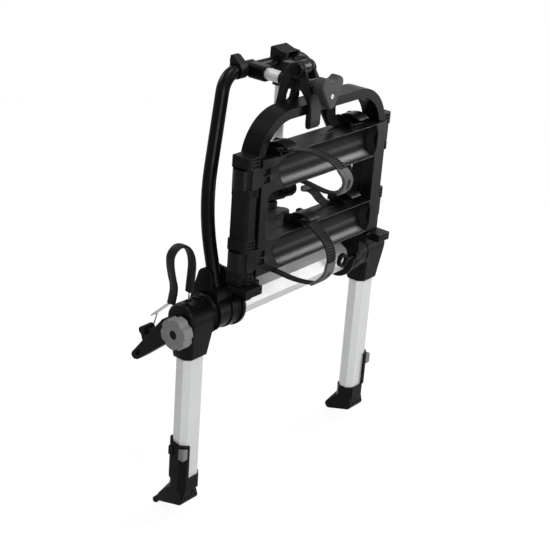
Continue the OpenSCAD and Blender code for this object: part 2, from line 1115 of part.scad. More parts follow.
module bracket(out) {
  difference() {
    union() {
      box([-tube_half - out, -tube_y - 42, foot_low], [-tube_half + 10, -tube_y, post_low - 0.2]);
      along_x(-drum_b + 0.5, -sleeve_end)
        difference() {
          union() {
            circle(r = drum_r + 3);
            translate([-tube_y + 2, 28])
              square([tube_y + 6, foot_low - 20]);
          }
          circle(r = sleeve_r + fit);
        }
      along_x(-tube_half + 4, -sleeve_end)
        difference() {
          translate([-tube_y - 22, 22])
            square([tube_y + 40, post_low - 0.2 - 22]);
          circle(r = drum_r + 9);
          translate([-100, 0])
            square([100 - tube_y - 6, foot_low - 4]);
        }
    }
    box([-tube_half - 40, -tube_y - 36, 0], [-tube_half - 0.2, -tube_y + 60, foot_low + 3.8]);
    hull() {
      rod_x(-hub_in - 40, -drum_b - eps, holder_r + 2, $fn = 64);
      translate([0, 4, 70])
        rod_x(-hub_in - 40, -drum_b - eps, 20);
    }
  }
}

module platform_brackets() {
  color([0.1, 0.1, 0.1])
    placed() {
      bracket(35);
      difference() {
        union() {
          right_of()
            bracket(25);
          translate([0, -pull_y, pull_z])
            rod_x(sleeve_end - 8, drum_b - 0.5, 9);
        }
        translate([0, -pull_y, pull_z])
          rod_x(sleeve_end - 20, drum_b - 3, pull_r + fit);
        rod_x(sleeve_end - 20, drum_b + 1, sleeve_r + fit);
      }
    }
}

module lock_pull() {
  color([0.1, 0.1, 0.1])
    placed()
      translate([0, -pull_y, pull_z]) {
        rod_x(pull_x + ring_r - 4, drum_b - 3.2, pull_r);
        translate([pull_x, ring_t/2, 0])
          rotate([90, 0, 0])
            difference() {
              cylinder(r = ring_r, h = ring_t);
              translate([0, 0, -1])
                cylinder(r = ring_hole, h = ring_t + 2);
            }
      }
}

// wheel trays

// wheel trough: it fades out to the hinge side and ends steeply at the other
module trough_cut() {
  rod_x(-trough_l, trough_r, trough_rad);
  translate([-trough_l - flare, 0, 0])
    rotate([0, 90, 0])
      cylinder(r1 = trough_rad - trough_depth, r2 = trough_rad, h = flare + eps);
  translate([trough_r - eps, 0, 0])
    rotate([0, 90, 0])
      cylinder(r1 = trough_rad, r2 = trough_rad - 1.5*end_slope, h = end_slope);
}

// window between the troughs, in the XZ plane
module window_outline() {
  lo = tray_z + trough_h;
  hi = tray_z + tray_h - trough_h;
  difference() {
    translate([-win_l, lo])
      square([win_l + win_r, hi - lo]);
    difference() {
      translate([-win_l - 1, hi - win_round])
        square([win_round + 1, win_round + 1]);
      translate([-win_l + win_round, hi - win_round])
        circle(r = win_round);
    }
    polygon([[-win_l - 1, lo - 1], [-win_l + win_bevel, lo - 1], [-win_l - 1, lo + win_bevel]]);
  }
}

// tray with its hinge at -X and its troughs open to -Y, the front face at y = 0
module tray_frame() {
  in_l = tube_half - tube_t - tray_gap;
  z_up = tray_z + tray_h - trough_h/2;
  z_lo = tray_z + trough_h/2;
  difference() {
    union() {
      // ledges and troughs inside the platform tube
      for (z = [z_up, z_lo])
        box([-in_l, 0, z - trough_h/2], [in_l, tray_t, z + trough_h/2]);
      // uprights inside the platform tube
      box([-in_l, 0, tray_z], [-win_l + win_round, tray_t, tray_z + tray_h]);
      box([win_r, 0, tray_z], [in_l, tray_t, tray_z + tray_h]);
    }
    translate([0, tray_t + 1, 0])
      rotate([90, 0, 0])
        linear_extrude(tray_t + 2)
          window_outline();
  }
}

// front skin over the platform tube's legs, from y0 to y0 + plate_t
module tray_skin(y0) {
  difference() {
    box([-tray_l, y0, tray_z], [tray_r, y0 + plate_t, tray_z + tray_h]);
    translate([0, y0 + plate_t + 1, 0])
      rotate([90, 0, 0])
        linear_extrude(plate_t + 2)
          window_outline();
  }
}

// hinge knuckles at -X, pin axis at y, joined to a skin from y0
module tray_knuckles(y, y0) {
  for (k = knuckle) {
    translate([-hinge_x, y, k[0]])
      cylinder(r = hinge_r, h = k[1] - k[0]);
    box([-hinge_x, y0, k[0]], [-tray_l + eps, y0 + plate_t, k[1]]);
  }
}

module knuckle_bores(y) {
  for (k = knuckle)
    translate([-hinge_x, y, k[0] - 1])
      cylinder(r = pin_r + fit, h = k[1] - k[0] + 2);
}

module front_frame() {
  z_up = tray_z + tray_h - trough_h/2;
  z_lo = tray_z + trough_h/2;
  difference() {
    union() {
      translate([0, -tray_front, 0])
        tray_frame();
      tray_skin(-tray_front);
      tray_knuckles(-tube_y - hinge_off, -tray_front);
    }
    for (z = [z_up, z_lo])
      translate([0, -tray_front - trough_rad + trough_depth, z])
        trough_cut();
    knuckle_bores(-tube_y - hinge_off);
    for (k = knuckle)
      for (i = [0, 1])
        box([-tray_l + 4, -tray_front - 1, k[0] + 4 + 15*i],
          [-tray_l + 21, -tray_front + 4, k[0] + 16 + 15*i]);
  }
}

// the rear tray hangs on the other side and folds over the tube's back
module rear_frame() {
  z_up = tray_z + tray_h - trough_h/2;
  z_lo = tray_z + trough_h/2;
  right_of()
    difference() {
      union() {
        translate([0, rear_back - tray_t, 0])
          tray_frame();
        tray_skin(rear_back - plate_t);
        tray_knuckles(-tube_y + hinge_off, rear_back - plate_t);
      }
      for (z = [z_up, z_lo])
        translate([0, rear_back - tray_t - trough_rad + trough_depth, z])
          trough_cut();
      knuckle_bores(-tube_y + hinge_off);
    }
}

module front_tray() {
  color([0.11, 0.11, 0.11])
    placed()
      front_frame();
}

module rear_tray() {
  color([0.11, 0.11, 0.11])
    placed()
      rear_frame();
}

// wheel straps

top_z = tray_z + tray_h;
low_z = tray_z + trough_h;
// the front tray's upper and lower buckle
buckle_1 = -tube_half + 64;
buckle_2 = buckle_1 + 84;
// strap points: distance from the upper buckle, distance in front of the tray's face, height
function on_tray(pts, z) = [for (p = pts) [buckle_1 + p[0], -tray_front - p[1], z + p[2]]];
upper_strap = on_tray([[0, -15, 6.5], [0, 4, 9.5], [14, 29, 13], [27, 53, 11], [38, 75, 2],
  [46, 91, -11]], top_z);
upper_end = on_tray([[46.4, 91.4, -12], [55, 99, -30], [60, 94, -48], [64, 80, -64]], top_z);
upper_back = on_tray([[64, 79.2, -64.9], [64, 53, -70], [64, 29, -69], [64, 5, -trough_h - 2.2],
  [64, -17, -trough_h - 1.8]], top_z);
lower_strap = on_tray([[84, -15, 6.5], [84, 3, 7], [69, 37, 3], [59, 63, -5], [50, 81, -18],
  [40, 91, -32]], low_z);
lower_end = on_tray([[39.7, 91.2, -32.9], [28, 95, -48], [18, 89, -60], [12, 79, -68]], low_z);
lower_back = on_tray([[11.8, 78.1, -68.7], [6, 53, -71], [2, 29, -70],
  [-2, 5, -trough_h - 2.4], [-4, -17, -trough_h - 1.8]], low_z);

module front_straps() {
  color([0.1, 0.1, 0.1])
    placed() {
      ribbon(upper_strap, strap_w, 3);
      ribbon(upper_back, strap_w*0.6, 3);
      ribbon(lower_strap, strap_w, 3);
      ribbon(lower_back, strap_w*0.6, 3);
    }
}

module front_strap_ends() {
  color([0.3, 0.3, 0.3])
    placed() {
      ribbon(upper_end, strap_w, 6);
      ribbon(lower_end, strap_w, 6);
    }
}

// strap buckle on a tray's upper edge, half as long as len to each side of y
module buckle(x, z, y, len) {
  difference() {
    along_x(x - buckle_w/2, x + buckle_w/2)
      polygon([[y - len/2, z + 0.1], [y + len/2, z + 0.1], [y + len/2, z + 14], [y + len/2 - 6, z + 18],
        [y + 2, z + 18], [y - len/2, z + 9]]);
    box([x - buckle_w/2 + 4, y - len/2 - 1, z + 4], [x + buckle_w/2 - 4, y + len/2 + 1, z + 30]);
    translate([0, y + lever_y, z + lever_z])
      rod_x(x - buckle_w, x + buckle_w, lever_pin + fit);
  }
}

// curved paddle that lies over its buckle
module lever(x, z, y) {
  translate([0, y + lever_y, z + lever_z]) {
    rod_x(x - buckle_w/2 + 0.5, x + buckle_w/2 - 0.5, lever_pin);
    along_x(x - buckle_w/2 + 5, x + buckle_w/2 - 5) {
      circle(r = 5);
      difference() {
        translate([-22, -26])
          circle(r = 38, $fn = 64);
        translate([-22, -27.5])
          circle(r = 35, $fn = 64);
        translate([-100, -100])
          square([200, 104]);
        translate([2, -60])
          square([80, 120]);
      }
      polygon([[-5, -1], [3, 2], [2.2, 3.2], [-1, 6], [-6, 4]]);
    }
  }
}

module front_buckles() {
  color([0.1, 0.1, 0.1])
    placed() {
      buckle(buckle_1, top_z, -tray_front + 17, 48);
      buckle(buckle_2, low_z, -tray_front + 19, 48);
    }
}

module lever_front_upper() {
  color([0.18, 0.18, 0.18])
    placed()
      lever(buckle_1, top_z, -tray_front + 17);
}

module lever_front_lower() {
  color([0.18, 0.18, 0.18])
    placed()
      lever(buckle_2, low_z, -tray_front + 19);
}

function on_rear(pts, z) = [for (p = pts) [p[0], rear_back + p[1], z + p[2]]];
rear_up = on_rear([[80, -13, 1.8], [80, -3, 8], [78, 1, 20], [76, 1, 36], [72, -1, 52]], top_z);
rear_lo = on_rear([[70, -13, 1.8], [62, -3, 10], [50, 1, 24], [34, 1, 34], [16, -1, 40]], low_z);

module rear_straps() {
  color([0.1, 0.1, 0.1])
    placed() {
      ribbon(rear_up, strap_w, 3);
      ribbon(rear_lo, strap_w, 3);
    }
}

module rear_strap_ends() {
  color([0.3, 0.3, 0.3])
    placed() {
      box([60, rear_back - 4, top_z + 52.3], [84, rear_back + 2, top_z + 58]);
      box([4, rear_back - 4, low_z + 40.6], [28, rear_back + 2, low_z + 49]);
    }
}

module rear_buckles() {
  color([0.1, 0.1, 0.1])
    placed() {
      buckle(114, top_z, rear_back - 15, 40);
      buckle(114, low_z, rear_back - 15, 40);
    }
}

module lever_rear_upper() {
  color([0.18, 0.18, 0.18])
    placed()
      lever(114, top_z, rear_back - 15);
}

module lever_rear_lower() {
  color([0.18, 0.18, 0.18])
    placed()
      lever(114, low_z, rear_back - 15);
}

crossbar();
bar_plugs();
pivot_drums();
elbow_left();
elbow_right();
leg_tube_left();
leg_tube_right();
tension_knob();
knob_cap();
sheath_left();
sheath_right();
cable_wire_left();
cable_wire_right();
hook_plate_left();
hook_plate_right();
foot_left();
foot_right();
foot_steel_left();
foot_steel_right();
foot_button_left();
foot_button_right();
hoop_tube();
hoop_holders();
window_pads();
arm_1_socket();
arm_1_tube();
arm_1_head();
arm_1_jaw_rear();
arm_1_jaw_front();
arm_1_bolt();
arm_1_wing();
arm_2_socket();
arm_2_tube();
arm_2_head();
arm_2_jaw_rear();
arm_2_jaw_front();
arm_2_bolt();
arm_2_wing();
platform_tube();
hinge_posts();
hinge_pins();
platform_brackets();
lock_pull();
front_tray();
front_straps();
front_strap_ends();
front_buckles();
lever_front_upper();
lever_front_lower();
rear_tray();
rear_straps();
rear_strap_ends();
rear_buckles();
lever_rear_upper();
lever_rear_lower();
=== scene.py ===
import json
import math

import bpy
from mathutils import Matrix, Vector

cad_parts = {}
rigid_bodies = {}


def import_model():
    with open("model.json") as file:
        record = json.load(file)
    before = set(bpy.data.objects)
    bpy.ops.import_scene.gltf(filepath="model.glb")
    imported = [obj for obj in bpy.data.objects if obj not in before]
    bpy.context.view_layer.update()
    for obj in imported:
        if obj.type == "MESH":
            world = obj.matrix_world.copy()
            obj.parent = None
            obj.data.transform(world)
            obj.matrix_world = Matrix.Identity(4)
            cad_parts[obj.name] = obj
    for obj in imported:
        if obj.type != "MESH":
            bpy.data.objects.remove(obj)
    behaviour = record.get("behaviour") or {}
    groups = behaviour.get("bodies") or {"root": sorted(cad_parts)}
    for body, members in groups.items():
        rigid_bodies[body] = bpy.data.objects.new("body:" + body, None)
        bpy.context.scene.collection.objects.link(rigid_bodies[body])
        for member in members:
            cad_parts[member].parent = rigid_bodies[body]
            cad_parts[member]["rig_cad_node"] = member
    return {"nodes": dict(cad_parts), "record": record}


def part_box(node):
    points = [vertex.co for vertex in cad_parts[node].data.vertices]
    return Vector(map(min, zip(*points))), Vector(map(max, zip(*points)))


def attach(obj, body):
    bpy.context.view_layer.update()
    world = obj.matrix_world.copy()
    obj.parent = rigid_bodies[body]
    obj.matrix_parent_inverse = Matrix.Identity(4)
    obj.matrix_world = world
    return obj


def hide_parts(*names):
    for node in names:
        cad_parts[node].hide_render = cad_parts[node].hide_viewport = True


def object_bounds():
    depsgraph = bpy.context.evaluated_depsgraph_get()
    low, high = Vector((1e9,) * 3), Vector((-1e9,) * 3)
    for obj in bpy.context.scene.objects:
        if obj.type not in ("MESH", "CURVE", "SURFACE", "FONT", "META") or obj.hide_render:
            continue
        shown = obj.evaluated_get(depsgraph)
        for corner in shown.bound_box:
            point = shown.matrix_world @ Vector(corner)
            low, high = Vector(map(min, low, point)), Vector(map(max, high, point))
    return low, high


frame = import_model()
nodes = frame["nodes"]
behaviour = frame["record"]["behaviour"]
bodyOf = {node: body for body, names in behaviour["bodies"].items() for node in names}
joints = {joint["name"]: joint for joint in behaviour["joints"]}
barAxis = Vector(joints["platform_fold"]["pos_m"])  # the crossbar's middle in the row frame
cadLow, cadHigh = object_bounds()
print("frame loaded,", len(nodes), "nodes")


def at(x, y, z):
    # millimetres from the crossbar's middle to metres in the row frame
    return barAxis + Vector((x, y, z)) / 1000


def deselectAll():
    if bpy.context.object and bpy.context.object.mode != "OBJECT":
        bpy.ops.object.mode_set(mode="OBJECT")
    bpy.ops.object.select_all(action="DESELECT")


cameraValues = {
    "place": (-1.84043, -1.42102, 1.01793),
    "turn": (66.165, -3.925, -50.123),  # degrees, with the photo's slight roll
    "lens": 87.06,
    "sensor": 36.0,
}


def makeCamera(values):
    deselectAll()
    bpy.ops.object.camera_add(
        location=values["place"], rotation=[math.radians(angle) for angle in values["turn"]]
    )
    camera = bpy.context.object
    camera.name = "photoCamera"
    camera.data.lens = values["lens"]
    camera.data.sensor_width = values["sensor"]
    bpy.context.scene.camera = camera


lightValues = {
    "key": {"place": (-1.4, -2.7, 2.2), "size": 0.8, "power": 95},
    "side": {"place": (2.1, -1.0, 1.6), "size": 1.0, "power": 84},  # along the troughs' lower halves
    "back": {"place": (-0.3, 2.6, 2.0), "size": 0.9, "power": 42},
    "top": {"place": (0.3, -0.2, 3.0), "size": 0.9, "power": 52},
    "lowLeft": {"place": (-1.1, -2.2, -0.22), "size": 0.6, "power": 22},  # the legs' corner facets
    "lowRight": {"place": (1.7, -1.5, -0.2), "size": 0.8, "power": 9},
}


def makeLights(values):
    for name, lamp in values.items():
        deselectAll()
        bpy.ops.object.light_add(type="AREA", location=lamp["place"])
        light = bpy.context.object
        light.name = name + "Light"
        light.data.shape = "DISK"
        light.data.size = lamp["size"]
        light.data.energy = lamp["power"]
        light.rotation_mode = "QUATERNION"
        light.rotation_quaternion = (-Vector(lamp["place"])).to_track_quat("-Z", "Y")


class Val:
    # a socket that takes part in sums, so that shader maths reads as maths
    def __init__(self, paint, socket):
        self.paint = paint
        self.socket = socket

    def calc(self, operation, a, b):
        return self.paint.node("ShaderNodeMath", {"operation": operation}, {0: a, 1: b})

    def __add__(self, other):
        return self.calc("ADD", self, other)

    def __radd__(self, other):
        return self.calc("ADD", other, self)

    def __sub__(self, other):
        return self.calc("SUBTRACT", self, other)

    def __rsub__(self, other):
        return self.calc("SUBTRACT", other, self)

    def __mul__(self, other):
        return self.calc("MULTIPLY", self, other)

    def __rmul__(self, other):
        return self.calc("MULTIPLY", other, self)

    def clamped(self):
        return self.paint.node("ShaderNodeClamp", {}, {"Value": self})


class Paint:
    # one node tree, filled by node(type, settings, inputs)
    def __init__(self, tree):
        self.tree = tree

    def node(self, kind, settings=None, inputs=None, out=0):
        made = self.tree.nodes.new(kind)
        for key, value in (settings or {}).items():
            setattr(made, key, value)
        for key, value in (inputs or {}).items():
            self.feed(made.inputs[key], value)
        return Val(self, made.outputs[out])

    def feed(self, socket, value):
        if isinstance(value, Val):
            self.tree.links.new(value.socket, socket)
        else:
            socket.default_value = value

    def noise(self, place, scale, detail=2.0, rough=0.5):
        return self.node(
            "ShaderNodeTexNoise", {},
            {"Vector": place, "Scale": scale, "Detail": detail, "Roughness": rough},
        )

    def stretched(self, place, stretch):
        return self.node("ShaderNodeMapping", {}, {"Vector": place, "Scale": stretch})

    def colours(self, mask, low, high):
        # the two colours, mixed by a mask from 0 to 1
        return self.node(
            "ShaderNodeMix", {"data_type": "RGBA"}, {0: mask, 6: (*low, 1), 7: (*high, 1)}, out=2
        )

    def shownRays(self):
        # 1 for camera, mirror and glass rays, which see the white studio
        ray = self.node("ShaderNodeLightPath").socket.node.outputs
        camera, glossy, glass = (
            Val(self, ray[name]) for name in ("Is Camera Ray", "Is Glossy Ray", "Is Transmission Ray")
        )
        return (camera + glossy + glass).clamped()


def newPaint(name):
    material = bpy.data.materials.new(name)
    material.use_nodes = True
    paint = Paint(material.node_tree)
    paint.material = material
    paint.shader = material.node_tree.nodes["Principled BSDF"].inputs
    paint.place = paint.node("ShaderNodeTexCoord", {}, {}, out=3)  # Object coordinates
    return paint


worldValues = {"sky": 0.25}  # what the world gives to all other rays


def makeWorld(values):
    world = bpy.data.worlds.new("studio")
    world.use_nodes = True
    bpy.context.scene.world = world
    paint = Paint(world.node_tree)
    back = world.node_tree.nodes["Background"]
    back.inputs["Color"].default_value = (1, 1, 1, 1)
    paint.feed(back.inputs["Strength"], paint.shownRays() * (1 - values["sky"]) + values["sky"])


floorValues = {
    "size": 60.0,
    "drop": 0.0004,
    "colour": (0.86, 0.86, 0.86, 1),
    "rough": 0.9,
    "veil": 0.92,  # white that covers the floor near the object, and leaves it a faint shadow
    "near": 1.0,  # from here on the floor whitens
    "fade": 2.0,
}


def makeFloor(values):
    deselectAll()
    bpy.ops.mesh.primitive_plane_add(size=values["size"], location=(0, 0, cadLow.z - values["drop"]))
    floor = bpy.context.object
    floor.name = "studioFloor"
    bpy.ops.object.transform_apply(location=True, rotation=True, scale=True)
    paint = newPaint("paleFloor")
    tree = paint.tree
    paint.shader["Base Color"].default_value = values["colour"]
    paint.shader["Roughness"].default_value = values["rough"]
    paint.shader["Specular IOR Level"].default_value = 0.0
    plain = Val(paint, tree.nodes["Principled BSDF"].outputs[0])
    glow = paint.node("ShaderNodeEmission", {}, {"Color": (1, 1, 1, 1), "Strength": 1.0})
    away = paint.node("ShaderNodeVectorMath", {"operation": "LENGTH"}, {0: paint.place}, out=1)
    far = ((away - values["near"]) * (1 / values["fade"])).clamped()
    share = far * (1 - values["veil"]) + values["veil"]
    mixed = paint.node("ShaderNodeMixShader", {}, {0: paint.shownRays() * share, 1: plain, 2: glow})
    tree.links.new(mixed.socket, tree.nodes["Material Output"].inputs["Surface"])
    floor.data.materials.append(paint.material)


makeCamera(cameraValues)
makeLights(lightValues)
makeWorld(worldValues)
makeFloor(floorValues)
bpy.context.scene.view_settings.view_transform = "Standard"
print("camera, lights and floor are set")


def edgeMask(paint, look):
    # the rounded normal, and a mask that is bright where the surface turns an edge; it lightens the colour
    # there as edge wear and as a painted highlight along the edges
    rounded = paint.node("ShaderNodeBevel", {"samples": 4}, {"Radius": look["edge"]})
    flat = paint.node("ShaderNodeNewGeometry", {}, {}, out=1)
    facing = paint.node(
        "ShaderNodeVectorMath", {"operation": "DOT_PRODUCT"}, {0: rounded, 1: flat}, out=1
    )
    return rounded, ((1 - facing) * look["rub"]).clamped()


def layOn(paint, values, look, mask, rough, height, rounded):
    # colour by mask, roughness and a fine bump, then what is even all over
    paint.feed(paint.shader["Base Color"], paint.colours(mask, values["dark"], values["pale"]))
    paint.feed(paint.shader["Roughness"], rough + values["rough"])
    bump = paint.node(
        "ShaderNodeBump", {},
        {"Strength": look["bump"], "Distance": look["deep"], "Height": height, "Normal": rounded},
    )
    paint.feed(paint.shader["Normal"], bump)
    for key, socket in (("gloss", "Specular IOR Level"), ("metal", "Metallic")):
        if key in values:
            paint.shader[socket].default_value = values[key]
    return paint.material


plasticValues = {
    "trayPlastic": {
        "dark": (0.0014, 0.0014, 0.0015), "pale": (0.0036, 0.0036, 0.0038), "rough": 0.31, "gloss": 0.08,
    },
    "housingPlastic": {
        "dark": (0.0012, 0.0012, 0.0013), "pale": (0.0032, 0.0032, 0.0034), "rough": 0.32, "gloss": 0.055,
    },
    "jawPlastic": {
        "dark": (0.0016, 0.0016, 0.0018), "pale": (0.0042, 0.0042, 0.0045), "rough": 0.33, "gloss": 0.09,
    },
    "knobPlastic": {
        "dark": (0.085, 0.085, 0.087), "pale": (0.13, 0.13, 0.132), "rough": 0.46, "gloss": 0.14,
    },
    "wingPlastic": {
        "dark": (0.016, 0.016, 0.0165), "pale": (0.03, 0.03, 0.031), "rough": 0.42, "gloss": 0.1,
    },
    "buttonPlastic": {
        "dark": (0.075, 0.075, 0.077), "pale": (0.115, 0.115, 0.117), "rough": 0.42, "gloss": 0.14,
    },
}

# the edge mask's gain and share set how much the edges are lightened, as wear and as a painted highlight
plasticLook = {
    "grain": 1100.0, "flow": 16.0, "edge": 0.0016, "rub": 2.2, "bump": 0.25, "deep": 0.0003,
    "flowShare": 0.7, "grainShare": 0.3, "edgeWearAndHighlightShare": 0.55, "grainRough": 0.16, "flowRough": 0.14,
}


def mouldedPlastic(name, values, look):
    # moulded plastic: fine spark grain, faint flow marks, edges lightened as wear and as a painted highlight
    paint = newPaint(name)
    grain = paint.noise(paint.place, look["grain"], 2.0)
    flow = paint.noise(paint.place, look["flow"], 4.0, 0.6)
    rounded, edgeWearAndHighlight = edgeMask(paint, look)
    mask = (flow * look["flowShare"] + grain * look["grainShare"] + edgeWearAndHighlight * look["edgeWearAndHighlightShare"]).clamped()
    rough = (grain - 0.5) * look["grainRough"] + (flow - 0.5) * look["flowRough"]
    return layOn(paint, values, look, mask, rough, grain, rounded)


coatValues = {"dark": (0.0012, 0.0012, 0.0014), "pale": (0.0028, 0.0028, 0.003), "rough": 0.3, "gloss": 0.045}

# the edge mask's gain and share set how much the edges are lightened, as wear and as a painted highlight
coatLook = {
    "peel": 420.0, "cloud": 9.0, "edge": 0.002, "rub": 1.6, "bump": 0.1, "deep": 0.0005,
    "cloudShare": 0.8, "edgeWearAndHighlightShare": 0.4, "peelRough": 0.1, "cloudRough": 0.1,
}


def powderCoat(name, values, look):
    # satin powder coat with a little orange peel
    paint = newPaint(name)
    peel = paint.noise(paint.place, look["peel"], 1.0)
    cloud = paint.noise(paint.place, look["cloud"], 3.0)
    rounded, edgeWearAndHighlight = edgeMask(paint, look)
    # the edge mask lightens the coat's colour at its edges, as wear and as a painted highlight
    mask = (cloud * look["cloudShare"] + edgeWearAndHighlight * look["edgeWearAndHighlightShare"]).clamped()
    rough = (peel - 0.5) * look["peelRough"] + (cloud - 0.5) * look["cloudRough"]
    return layOn(paint, values, look, mask, rough, peel, rounded)


metalValues = {
    "aluminium": {
        "dark": (0.335, 0.338, 0.342), "pale": (0.43, 0.434, 0.438), "rough": 0.4, "metal": 0.5,
    },
    "steel": {"dark": (0.3, 0.3, 0.31), "pale": (0.46, 0.46, 0.47), "rough": 0.3, "metal": 0.9},
}

metalLook = {
    "cloud": 7.0, "edge": 0.0012, "bump": 0.1, "deep": 0.0002,
    "lineShare": 0.6, "cloudShare": 0.4, "lineRough": 0.22,
    "barLines": (4, 900, 900), "legLines": (900, 900, 4), "steelLines": (260, 260, 260),
}


def drawnMetal(name, values, look, stretch):
    # metal with fine draw lines along the tube
    paint = newPaint(name)
    lines = paint.noise(paint.stretched(paint.place, stretch), 1.0, 3.0, 0.6)
    cloud = paint.noise(paint.place, look["cloud"], 2.0)
    rounded = paint.node("ShaderNodeBevel", {"samples": 4}, {"Radius": look["edge"]})
    mask = (lines * look["lineShare"] + cloud * look["cloudShare"]).clamped()
    return layOn(paint, values, look, mask, (lines - 0.5) * look["lineRough"], lines, rounded)


rubberValues = {
    "strapRubber": {
        "dark": (0.0035, 0.0035, 0.0035), "pale": (0.012, 0.012, 0.012), "rough": 0.52, "gloss": 0.08,
    },
    "endRubber": {
        "dark": (0.04, 0.04, 0.041), "pale": (0.065, 0.065, 0.067), "rough": 0.5, "gloss": 0.1,
    },
    "padRubber": {
        "dark": (0.003, 0.003, 0.003), "pale": (0.008, 0.008, 0.008), "rough": 0.56, "gloss": 0.06,
    },
}

# the edge mask's gain and share set how much the edges are lightened, as wear and as a painted highlight
rubberLook = {
    "grain": 700.0, "bloom": 24.0, "edge": 0.0012, "rub": 1.8, "bump": 0.3, "deep": 0.0003,
    "bloomShare": 0.7, "edgeWearAndHighlightShare": 0.5, "grainRough": 0.2,
}


def mouldedRubber(name, values, look):
    # matt rubber with a dusty bloom, and edges lightened as wear and as a painted highlight
    paint = newPaint(name)
    grain = paint.noise(paint.place, look["grain"], 3.0)
    bloom = paint.noise(paint.place, look["bloom"], 3.0)
    rounded, edgeWearAndHighlight = edgeMask(paint, look)
    mask = (bloom * look["bloomShare"] + edgeWearAndHighlight * look["edgeWearAndHighlightShare"]).clamped()
    return layOn(paint, values, look, mask, (grain - 0.5) * look["grainRough"], grain, rounded)


finishes = {name: mouldedPlastic(name, values, plasticLook) for name, values in plasticValues.items()}
finishes["blackCoat"] = powderCoat("blackCoat", coatValues, coatLook)
for name, metal, lines in (
    ("barAluminium", "aluminium", "barLines"),
    ("legAluminium", "aluminium", "legLines"),
    ("zincSteel", "steel", "steelLines"),
):
    finishes[name] = drawnMetal(name, metalValues[metal], metalLook, metalLook[lines])
for name, values in rubberValues.items():
    finishes[name] = mouldedRubber(name, values, rubberLook)

nodeFinish = {
    "barAluminium": ["crossbar"],
    "legAluminium": ["leg_tube_left", "leg_tube_right", "arm_1_tube", "arm_2_tube"],
    "zincSteel": ["cable_wire_left", "cable_wire_right", "bar_plugs"],
    "blackCoat": [
        "hoop_tube", "platform_tube", "arm_1_bolt", "arm_2_bolt", "lock_pull", "foot_steel_left",
        "foot_steel_right", "hinge_pins",
    ],
    "trayPlastic": ["front_tray", "rear_tray"],
    "housingPlastic": [
        "elbow_left", "elbow_right", "pivot_drums", "hoop_holders", "hinge_posts", "platform_brackets",
        "arm_1_socket", "arm_2_socket", "foot_left", "foot_right", "hook_plate_left", "hook_plate_right",
        "knob_cap", "front_buckles", "rear_buckles",
    ],
    "jawPlastic": [
        "arm_1_head", "arm_1_jaw_rear", "arm_1_jaw_front", "arm_2_head", "arm_2_jaw_rear",
        "arm_2_jaw_front", "lever_front_upper", "lever_front_lower", "lever_rear_upper", "lever_rear_lower",
    ],
    "knobPlastic": ["tension_knob"],
    "wingPlastic": ["arm_1_wing", "arm_2_wing"],
    "buttonPlastic": ["foot_button_left", "foot_button_right"],
    "padRubber": ["window_pads"],
    "strapRubber": ["sheath_left", "sheath_right", "front_straps", "rear_straps"],
    "endRubber": ["front_strap_ends", "rear_strap_ends"],
}


def dress(piece, finish):
    piece.data.materials.clear()
    piece.data.materials.append(finishes[finish])


for finish, names in nodeFinish.items():
    for name in names:
        dress(nodes[name], finish)
print("finishes on", sum(len(names) for names in nodeFinish.values()), "nodes")


edgeValues = {
    # bevel in mm on every edge of a moulded piece, and the slot that its finish comes from
    "trayPlastic": {"round": 0.4, "slot": "black_plastic"},
    "housingPlastic": {"round": 0.9, "slot": "black_plastic"},
    "jawPlastic": {"round": 2.2, "slot": "black_plastic"},
    "knobPlastic": {"round": 1.1, "slot": "grey_plastic"},
    "wingPlastic": {"round": 3.0, "slot": "grey_plastic"},
    "buttonPlastic": {"round": 0.6, "slot": "grey_plastic"},
    "padRubber": {"round": 1.0, "slot": "black_rubber"},
}

edgeOf = {
    # pieces with a bevel of their own, in mm
    "elbow_left": 2.4, "elbow_right": 2.4, "foot_left": 0.4, "foot_right": 0.4, "hoop_holders": 0.4,
    "arm_1_socket": 0.3, "arm_2_socket": 0.3, "knob_cap": 0.5, "arm_1_head": 1.0, "arm_2_head": 1.0,
    "lever_front_upper": 0.8, "lever_front_lower": 0.8, "lever_rear_upper": 0.8, "lever_rear_lower": 0.8,
}

mergeValues = {
    "weld": 2e-6,
    "flat": 0.04,  # degrees: faces that meet flatter than this become one
    "corner": 32,  # degrees: an edge that is flatter stays as it is
    "steps": 3,
}


def plainName(node):
    first, *rest = node.split("_")
    return first + "".join(word.capitalize() for word in rest)


def mergedCopy(node, values):
    # a copy of a CAD node with its triangles joined into clean faces
    deselectAll()
    nodes[node].select_set(True)
    bpy.context.view_layer.objects.active = nodes[node]
    bpy.ops.object.duplicate()
    piece = bpy.context.object
    piece.name = plainName(node)
    del piece["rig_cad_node"]
    bpy.ops.object.mode_set(mode="EDIT")
    bpy.ops.mesh.select_all(action="SELECT")
    bpy.ops.mesh.remove_doubles(threshold=values["weld"])
    bpy.ops.mesh.dissolve_limited(angle_limit=math.radians(values["flat"]))
    if node.endswith("tray"):  # no face may run right round a wheel window
        middle = sum(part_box(node), Vector()) / 2
        for normal in ((1, 0, 0), (0, 0, 1)):
            bpy.ops.mesh.select_all(action="SELECT")
            bpy.ops.mesh.bisect(plane_co=middle, plane_no=normal)
    bpy.ops.object.mode_set(mode="OBJECT")
    return piece


def roundEdges(piece, width, values):
    bevel = piece.modifiers.new("edges", "BEVEL")
    bevel.width = width / 1000
    bevel.segments = values["steps"]
    bevel.limit_method = "ANGLE"
    bevel.angle_limit = math.radians(values["corner"])
    bevel.use_clamp_overlap = False
    bevel.miter_outer = "MITER_ARC"
    bpy.ops.object.modifier_apply(modifier="edges")
    bpy.ops.object.shade_smooth_by_angle(angle=math.radians(values["corner"]))
    flat = piece.modifiers.new("flatFaces", "WEIGHTED_NORMAL")
    flat.keep_sharp = True
    bpy.ops.object.modifier_apply(modifier="flatFaces")


